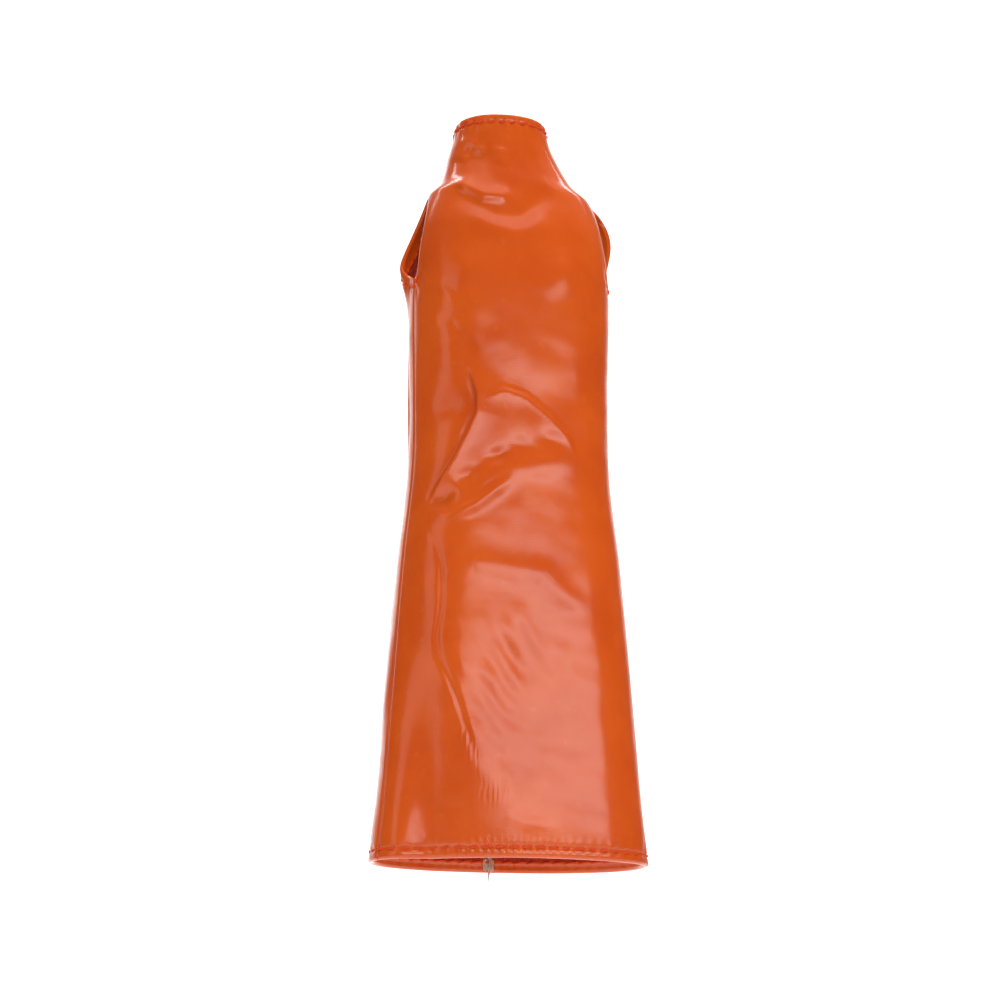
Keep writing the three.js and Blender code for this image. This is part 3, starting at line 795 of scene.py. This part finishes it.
def unit(v):
    return v / np.linalg.norm(v, axis=-1, keepdims=True)


stitchSet = {"thread": 0.235, "rise": 0.34, "dip": 0.30, "share": 0.86, "slant": 8.0, "uneven": 4.0}


# A row of stitches along path(t), t from 0 to 1, which gives turns and heights; `outAt` is how far the face
# stands out there. On an inner face the stitches bulge the other way.
def stitchRow(name, path, pitch, outAt, inside=False, thread=None, seed=1, share=None, slant=None):
    s = stitchSet
    t = np.linspace(0, 1, 1501)
    turn, h = path(t)
    line = surface(turn, h, outAt(turn, h))
    run = np.concatenate([[0], np.cumsum(np.linalg.norm(np.diff(line, axis=0), axis=1))])
    count = max(1, round(run[-1] / pitch))
    own = run[-1] / count
    reach = own * (share or s["share"])
    middle = (np.arange(count) + 0.5) * own
    at = [np.stack([np.interp(middle + d * reach / 2, run, line[:, k]) for k in range(3)], -1)
          for d in (-1, 0, 1)]
    turns, heights = np.interp(middle, run, turn), np.interp(middle, run, h)
    outward = unit(surface(turns, heights, 1.0) - surface(turns, heights, 0.0)) * (-1 if inside else 1)
    r = thread or s["thread"]
    shape = {
        "Start": (-0.5, 0, -s["dip"] * mm), "Middle": (0, 0, s["rise"] * 2 * mm),
        "End": (0.5, 0, -s["dip"] * mm), "Radius": r * mm, "Sides": 7, "Steps": 7,
        "Slant": (0, 0, math.radians(slant or s["slant"])),
        "Unevenness": (0, 0, math.radians(s["uneven"])), "Seed": seed,
    }
    return threadOn(name, at[1], unit(at[2] - at[0]), outward, reach * mm, sewingThread, shape)


def face(liftAt):
    return lambda turn, h: liftAt(turn, h) + relief(turn, h)


def innerFace(liftAt, edgeAt, e):
    return lambda turn, h: liftAt(turn, h) + relief(turn, h) - edgeAt(turn, h, e)


def levelPath(fromTurn, toTurn, height):
    return lambda t: (mix(fromTurn, toTurn, t), np.full(t.shape, height))


# straight runs on the back between corners given as (x, height)
def backPath(corners):
    c = np.array(corners, float)
    size = np.concatenate([[0], np.cumsum(np.linalg.norm(np.diff(c, axis=0), axis=1))])

    def at(t):
        x, h = (np.interp(t * size[-1], size, c[:, k]) for k in (0, 1))
        return backTurn(x, h), h

    return at


hemStitches = stitchRow("hemStitches", levelPath(-178, 178, hemSet["in"]), hemSet["pitch"],
                        face(noLift), seed=2)
hemInner = stitchRow("hemStitchesInside", levelPath(-178, 178, hemSet["in"]), hemSet["pitch"],
                     innerFace(noLift, thickness, 1.0), inside=True, seed=3)
collarHigh = cut["length"] - collarSet["in"]
collarFront = stitchRow("collarStitchesFront", levelPath(-88, 88, collarHigh), collarSet["pitch"],
                        face(noLift), seed=4)
collarLeft = stitchRow("collarStitchesLeft", levelPath(92, float(backTurn(-1.4, collarHigh)), collarHigh),
                       collarSet["pitch"], face(overLift), seed=5)
collarRight = stitchRow("collarStitchesRight", levelPath(float(backTurn(1.4, collarHigh)), 268, collarHigh),
                        collarSet["pitch"], face(noLift), seed=6)


# from angle a0 to a1 round the armhole: 0 is its back edge, 90 its top
def armholePath(side, a0, a1):
    def at(t):
        a = np.radians(mix(a0, a1, t))
        h = armMid + (armHalf + armSet["in"]) * np.sin(a)
        seam = seamAt(side, h)
        inTurn = np.degrees(armSet["in"] / halfWidth(h))
        reach = np.where(np.cos(a) > 0, cut["armBack"] - seam + inTurn, seam - cut["armFront"] + inTurn)
        return side * (seam + np.cos(a) * reach), h

    return at


sides = (("Left", 1), ("Right", -1))
armStitches = [stitchRow("armhole" + word + "Stitches", armholePath(side, *armSet["outside"]),
                         armSet["pitch"], face(noLift), seed=7 + side) for word, side in sides]
armInner = [stitchRow("armhole" + word + "StitchesInside", armholePath(side, -175, 175),
                      armSet["pitch"], innerFace(noLift, thickness, 1.0), inside=True, seed=17 + side)
            for word, side in sides]
print("topstitching made")

seamSet = {"pitch": 2.0, "thread": 0.15}


def seamRow(name, path, seed):
    return stitchRow(name, path, seamSet["pitch"], innerFace(noLift, thickness, 0.0), inside=True,
                     thread=seamSet["thread"], seed=seed)


def sideSeamPath(side):
    def at(t):
        h = mix(4, armLow - 4, t)
        return side * seamAt(side, h), h

    return at


def shoulderPath(side):
    return lambda t: (side * 90.0 + 0 * t, mix(armHigh + 3.5, cut["length"] - 2.6, t))


seamThreads = []
for word, side in sides:
    seamThreads.append(seamRow("sideSeam" + word + "Stitches", sideSeamPath(side), 20 + side))
    seamThreads.append(seamRow("shoulderSeam" + word + "Stitches", shoulderPath(side), 30 + side))
centreBack = seamRow("centreBackStitches", backPath([(0, 4.5), (0, slitLow - 5)]), 40)
print("seams sewn")

tapeSet = {
    "half": 1.6, "thick": 0.45, "gap": 0.25, "low": slitLow + 3.5, "high": cut["length"] - 5.0, "inset": 1.2,
    "spacing": 0.40, "hookRadius": 0.035, "loopRadius": 0.022, "stitchPitch": 1.7, "stitchThread": 0.16,
}


# woven strip along the opening, from `inner` to `outer` off the plain shape, with rounded selvedges
def tapeStrip(name, inner, outer):
    rows = np.linspace(tapeSet["low"], tapeSet["high"], 181)
    xs = tapeSet["half"] * np.sin(np.linspace(-math.pi / 2, math.pi / 2, 15))
    x, h = np.meshgrid(xs, rows)
    rounded = np.sqrt(np.maximum(0, 1 - (np.abs(xs) / tapeSet["half"]) ** 10))[None, :]
    half = (outer - inner) / 2 * rounded * np.where((h > rows[0]) & (h < rows[-1]), 1.0, 0.0)
    weave = 0.012 * np.sin(h * math.pi / 0.5) * np.cos(x * math.pi / 0.4)
    turn = backTurn(x, h)
    mid = (outer + inner) / 2 + 0 * h
    points = np.concatenate([surface(turn, h, mid + half + weave).reshape(-1, 3),
                             surface(turn, h, mid - half - weave).reshape(-1, 3)]) * mm
    nr, nc = x.shape
    quads = gridFaces(nr, nc)
    mesh = bpy.data.meshes.new(name)
    mesh.from_pydata(points.tolist(), [], np.concatenate([quads, quads[:, ::-1] + nr * nc]).tolist())
    mesh.materials.append(tapeGround)
    obj = link(bpy.data.objects.new(name, mesh))
    print(name, "open edges", tidyMesh(mesh, 1e-5))
    return obj


# hooks or loops in rows across the tape, standing on its face at `out`
def tapePoints(out, facing, seed):
    rng = np.random.default_rng(seed)
    step, rim = tapeSet["spacing"], 0.35
    xs = np.arange(-tapeSet["half"] + rim, tapeSet["half"] - rim, step)
    hs = np.arange(tapeSet["low"] + rim, tapeSet["high"] - rim, step)
    x, h = (v.ravel() for v in np.meshgrid(xs, hs))
    x = x + rng.uniform(-0.08, 0.08, x.shape)
    h = h + rng.uniform(-0.08, 0.08, h.shape)
    turn = backTurn(x, h)
    points = surface(turn, h, out)
    outward = unit(surface(turn, h, 1.0) - surface(turn, h, 0.0)) * facing
    lean = rng.uniform(-0.5, 0.5, len(x))
    up = np.stack([np.sin(lean) * 0.6, np.zeros(len(x)), np.ones(len(x))], -1)
    return points, unit(up), outward


hookOut = tapeSet["gap"] + tapeSet["thick"]
loopIn = hookOut + tapeSet["gap"]
loopTape = tapeStrip("loopTape", loopIn, loopIn + tapeSet["thick"])
hookTape = tapeStrip("hookTape", tapeSet["gap"], hookOut)
hooks = threadOn("hookTapeHooks", *tapePoints(hookOut - 0.02, 1, 51), 1.0, tapePile, {
    "Start": (0, 0, 0), "Middle": (0.00002, 0, 0.00034), "End": (0.00015, 0, 0.00009),
    "Radius": tapeSet["hookRadius"] * mm, "Sides": 4, "Steps": 4, "Unevenness": (0, 0, 0.3), "Seed": 52})
loops = threadOn("loopTapeLoops", *tapePoints(loopIn + 0.02, -1, 53), 1.0, tapePile, {
    "Start": (-0.00012, 0, 0), "Middle": (0, 0, 0.00036), "End": (0.00012, 0, 0),
    "Radius": tapeSet["loopRadius"] * mm, "Sides": 3, "Steps": 5, "Unevenness": (0.3, 0, 1.2), "Seed": 54})


def tapeRun(side):
    i = tapeSet["inset"] * side
    low, high = tapeSet["low"] + 1, tapeSet["high"] - 1
    return backPath([(-i, high), (-i, low), (i, low), (i, high), (-i, high)])


loopTapeSewn = stitchRow("loopTapeStitches", tapeRun(1), tapeSet["stitchPitch"], face(overLift),
                         thread=tapeSet["stitchThread"], seed=55)
hookTapeSewn = stitchRow("hookTapeStitches", tapeRun(-1), tapeSet["stitchPitch"],
                         lambda turn, h: relief(turn, h) - cut["sheet"], inside=True,
                         thread=tapeSet["stitchThread"], seed=56)
barSet = {"low": -0.7, "high": 2.3, "height": slitLow - 1, "passes": 13, "tall": 1.5, "thread": 0.17}
barPitch = (barSet["high"] - barSet["low"]) / barSet["passes"]
barPath = backPath([(barSet["low"], barSet["height"]), (barSet["high"], barSet["height"])])
barTack = stitchRow("slitBarTack", barPath, barPitch, face(overLift), thread=barSet["thread"], seed=57,
                    share=barSet["tall"] / barPitch, slant=86)
print("tapes made")

# the seam's loose end at the hem: a thin pointed tail, shorter fibres round it and the frayed allowance
tailSet = {"strands": 9, "radius": 0.10, "tailRadius": 0.20, "sides": 6, "steps": 14, "seed": 61}


# a tapered tube along points in mm
def tube(points, radii, count):
    points = np.asarray(points, float)
    along = unit(np.gradient(points, axis=0))
    across = unit(np.cross(along, np.array([0.2, 1.0, 0.1])))
    up = np.cross(along, across)
    a = np.linspace(0, 2 * math.pi, count, endpoint=False)
    rings = (points[:, None] + np.asarray(radii)[:, None, None]
             * (across[:, None] * np.cos(a)[None, :, None] + up[:, None] * np.sin(a)[None, :, None]))
    n = len(points)
    faces = [[i + k, i + (k + 1) % count, i + count + (k + 1) % count, i + count + k]
             for i in range(0, (n - 1) * count, count) for k in range(count)]
    faces += [list(range(count))[::-1], [(n - 1) * count + k for k in range(count)]]
    return rings.reshape(-1, 3), faces


def joined(name, parts, finish):
    verts, faces, base = [], [], 0
    for v, f in parts:
        verts.append(v)
        faces += [[i + base for i in face] for face in f]
        base += len(v)
    mesh = bpy.data.meshes.new(name)
    mesh.from_pydata((np.concatenate(verts) * mm).tolist(), [], faces)
    mesh.materials.append(finish)
    obj = link(bpy.data.objects.new(name, mesh))
    tidyMesh(mesh, 1e-8)
    return obj


def tailParts(s):
    rng = np.random.default_rng(s["seed"])
    t = np.linspace(0, 1, s["steps"])
    backY = float(surface(180.0, 0.5)[1])
    parts = []
    for i in range(s["strands"]):
        main = i == 0
        x0 = 0.1 if main else rng.uniform(-1.0, 0.9)
        low = -2.55 if main else rng.uniform(-0.9, 0.6)
        drift, curl = rng.uniform(-0.5, 0.5), rng.uniform(-0.3, 0.3)
        x = x0 + drift * t ** 2 * (0.4 if main else 1) + 0.1 * np.sin(t * 7 + i)
        y = backY - cut["turned"] - 0.35 - 0.25 * (i % 3) - curl * t * (1 - t)
        h = mix(3.6 if main else rng.uniform(1.4, 3.0), low, t)
        r = (s["tailRadius"] if main else s["radius"]) * (1 - 0.75 * t ** 3)
        parts.append(tube(np.stack([x, y + 0 * t, h - cut["length"]], -1), r, s["sides"]))
    return parts


# two cut ends of the seam allowance, ragged along their lower edge
def allowanceParts(seed):
    rng = np.random.default_rng(seed)
    parts = []
    for x0, x1 in ((-1.15, -0.12), (0.10, 0.95)):
        cols, rows = 9, 7
        x, t = np.meshgrid(np.linspace(x0, x1, cols), np.linspace(0, 1, rows))
        ragged = 0.35 + rng.uniform(-0.28, 0.22, cols)
        h = mix(ragged[None, :], 2.7, t)
        bend = 0.10 * (1 - t) * rng.uniform(0.2, 1.0, cols)[None, :]
        y = float(surface(180.0, 0.5)[1]) - cut["turned"] - 0.14 - bend
        front = np.stack([x, y, h - cut["length"]], -1).reshape(-1, 3)
        thin = front + np.array([0, -0.16, 0])
        quads = gridFaces(rows, cols)
        n = rows * cols
        edge = ([k for k in range(cols)] + [(r + 1) * cols - 1 for r in range(1, rows)]
                + [n - 2 - k for k in range(cols - 1)] + [r * cols for r in range(rows - 2, 0, -1)])
        around = [[edge[k], edge[k - 1], edge[k - 1] + n, edge[k] + n] for k in range(len(edge))]
        parts.append((np.concatenate([front, thin]), quads.tolist() + (quads[:, ::-1] + n).tolist() + around))
    return parts


tail = joined("threadTail", tailParts(tailSet), rawThread)
allowance = joined("frayedAllowance", allowanceParts(62), rawThread)
print("tail made")


def bendAcross(obj):
    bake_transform(obj)


for obj in (leftBack, loopTape, loops, loopTapeSewn, collarLeft):
    bendAcross(obj)
for obj in (rightBack, hookTape, hooks, hookTapeSewn, collarRight):
    bendAcross(obj)
for obj in (frontPanel, hemStitches, hemInner, collarFront, *armStitches, *armInner, *seamThreads,
            centreBack, barTack, tail, allowance):
    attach(obj, "dress")

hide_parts("front_panel")
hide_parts("back_left_panel", "back_left_flap")
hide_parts("back_right_panel", "back_right_flap")
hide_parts("loop_tape", "loop_tape_flap")
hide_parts("hook_tape", "hook_tape_flap")
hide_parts("loop_tape_stitch", "loop_tape_stitch_flap")
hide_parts("hook_tape_stitch", "hook_tape_stitch_flap")
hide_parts("collar_stitch")
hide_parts("collar_stitch_left_flap")
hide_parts("collar_stitch_right_flap")
for obj, side in zip(armStitches, ("left", "right")):
    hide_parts("armhole_" + side + "_stitch")
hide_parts("hem_stitch")
for obj, node in zip(seamThreads, ("side_seam_left_thread", "shoulder_seam_left_thread",
                                   "side_seam_right_thread", "shoulder_seam_right_thread")):
    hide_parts(node)
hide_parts("centre_back_seam_thread")
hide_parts("slit_bartack")
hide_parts("thread_tail")

print("pieces placed on their bodies")


# a matt light gives no reflection
def areaLight(name, place, aim, size, power, matt=False):
    data = bpy.data.lights.new(name, "AREA")
    data.shape = "RECTANGLE"
    data.size, data.size_y = size
    data.energy = power
    light = link(bpy.data.objects.new(name, data))
    light.location = place
    light.visible_glossy = not matt
    light.rotation_euler = (Vector(aim) - Vector(place)).to_track_quat("-Z", "Y").to_euler()


dressMiddle = (0, 0, -0.08)
lightSet = {
    "frontSoftbox": {"place": (0.18, -0.53, -0.03), "aim": dressMiddle, "size": (0.80, 0.11), "power": 1.2},
    "overhead": {"place": (0.10, -0.20, 0.78), "aim": dressMiddle, "size": (1.3, 0.35), "power": 6.6,
                 "matt": True},
    "overheadShine": {"place": (0.10, -0.20, 0.78), "aim": dressMiddle, "size": (0.7, 0.4), "power": 2.8},
    "leftPanel": {"place": (-0.55, -0.42, 0.06), "aim": dressMiddle, "size": (0.22, 0.5), "power": 0.30},
    "backdrop": {"place": (0.0, 0.35, 0.9), "aim": (0, 1.5, 0.1), "size": (1.6, 0.5), "power": 24.0},
}
for name, s in lightSet.items():
    areaLight(name, s["place"], s["aim"], s["size"], s["power"], s.get("matt", False))

studioSet = {"Color": (0.9, 0.92, 0.95, 1), "Strength": 0.06}
studio = bpy.data.worlds.new("studio")
studio.use_nodes = True
for key, value in studioSet.items():
    studio.node_tree.nodes["Background"].inputs[key].default_value = value
bpy.context.scene.world = studio

stageSet = {"floor": -0.240, "wall": 1.3, "bend": 0.5, "left": -1.6, "right": 1.9, "near": -1.4, "top": 2.6}


# pale floor that curves up into a wall
def makeStage(s):
    b = s["bend"]
    arcAt = [(s["wall"] - b + b * math.sin(a), s["floor"] + b - b * math.cos(a))
             for a in np.linspace(0, math.pi / 2, 24)]
    profile = [(s["near"], s["floor"])] + arcAt + [(s["wall"], s["top"])]
    verts = [(x, y, z) for y, z in profile for x in (s["left"], s["right"])]
    faces = [(2 * i, 2 * i + 1, 2 * i + 3, 2 * i + 2) for i in range(len(profile) - 1)]
    mesh = bpy.data.meshes.new("studioSweep")
    mesh.from_pydata(verts, [], faces)
    m, shader, add, join = newMaterial("paleSweep")
    shader.inputs["Base Color"].default_value = (0.93, 0.93, 0.93, 1)
    shader.inputs["Roughness"].default_value = 0.9
    mesh.materials.append(m)
    for p in mesh.polygons:
        p.use_smooth = True
    link(bpy.data.objects.new("studioSweep", mesh))


makeStage(stageSet)
print("stage made")
